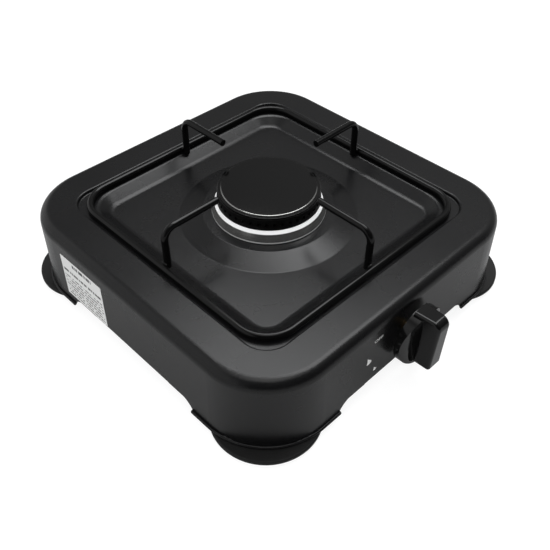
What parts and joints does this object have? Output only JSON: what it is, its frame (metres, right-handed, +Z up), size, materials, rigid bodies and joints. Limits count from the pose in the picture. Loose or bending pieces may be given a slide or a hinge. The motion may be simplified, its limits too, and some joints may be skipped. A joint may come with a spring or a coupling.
{
  "type": "one-burner tabletop gas stove",
  "caption": "Square enamelled tabletop gas stove with a round burner, a wire trivet with bent fingers, a push-and-turn knob and round feet.",
  "frame": {"origin": "on the floor, in the middle of the bounding box, which is on the burner's axis", "axes": "+Z up, the knob on the front towards -Y, the hose nozzle on the back towards +Y, the label on the left towards -X"},
  "size_m": [0.298, 0.344, 0.1077],
  "materials": {
    "enamel_black": "fine-grained satin enamel on pressed steel",
    "wire_black": "glossy black enamel on steel wire",
    "cap_black": "semi-gloss black enamel",
    "crown_black": "matt heat-resistant black",
    "cup_aluminium": "turned and polished",
    "cast_aluminium": "die cast, matt",
    "knob_plastic": "glossy black phenolic",
    "foot_plastic": "matt black, slightly soft",
    "label_paper": "white self-adhesive label, ruled, without words",
    "zinc_steel": "zinc-plated",
    "brass": "machined",
    "spring_steel": "hard drawn",
    "seal_rubber": "nitrile rubber"
  },
  "bodies": {
    "stove": {"body_shell": "enamel_black", "foot_washers": "zinc_steel", "foot_screws": "zinc_steel", "burner_cup": "cup_aluminium", "mixing_tube": "cast_aluminium", "burner_screws": "zinc_steel", "valve_bracket": "zinc_steel", "valve_cover": "zinc_steel", "spindle_seal": "seal_rubber", "cover_screws": "zinc_steel", "valve_body": "brass", "injector": "brass", "gas_pipe": "zinc_steel", "inlet_nut": "brass", "outlet_nut": "brass", "hose_nozzle": "brass", "nozzle_washer": "seal_rubber", "nozzle_locknut": "brass", "rating_label": "label_paper", "gusset_back_right": "enamel_black", "foot_back_right": "foot_plastic", "gusset_back_left": "enamel_black", "foot_back_left": "foot_plastic", "gusset_front_left": "enamel_black", "foot_front_left": "foot_plastic", "gusset_front_right": "enamel_black", "foot_front_right": "foot_plastic"},
    "valve_core": {"valve_plug": "brass", "valve_spring": "spring_steel"},
    "knob_set": {"knob": "knob_plastic", "knob_clip": "spring_steel", "valve_spindle": "brass"},
    "trivet": {"trivet_ring": "wire_black", "trivet_finger_right": "wire_black", "trivet_finger_back": "wire_black", "trivet_finger_left": "wire_black", "trivet_finger_front": "wire_black"},
    "crown": {"burner_crown": "crown_black"},
    "cap": {"burner_cap": "cap_black"}
  },
  "joints": [
    {"name": "knob_turn", "type": "hinge", "parent": "stove", "child": "valve_core", "pos_m": [0, -0.12111, 0.0415], "axis": [0, -1, 0], "range_deg": [0, 180]},
    {"name": "knob_push", "type": "slide", "parent": "valve_core", "child": "knob_set", "axis": [0, 1, 0], "range_m": [0, 0.003], "stiffness_N_per_m": 700, "springref_m": -0.003, "deforming": ["valve_spring"]},
    {"name": "trivet_lift", "type": "slide", "parent": "stove", "child": "trivet", "axis": [0, 0, 1], "range_m": [0, 0.06]},
    {"name": "crown_lift", "type": "slide", "parent": "stove", "child": "crown", "axis": [0, 0, 1], "range_m": [0, 0.03]},
    {"name": "cap_lift", "type": "slide", "parent": "crown", "child": "cap", "axis": [0, 0, 1], "range_m": [0, 0.03]}
  ]
}
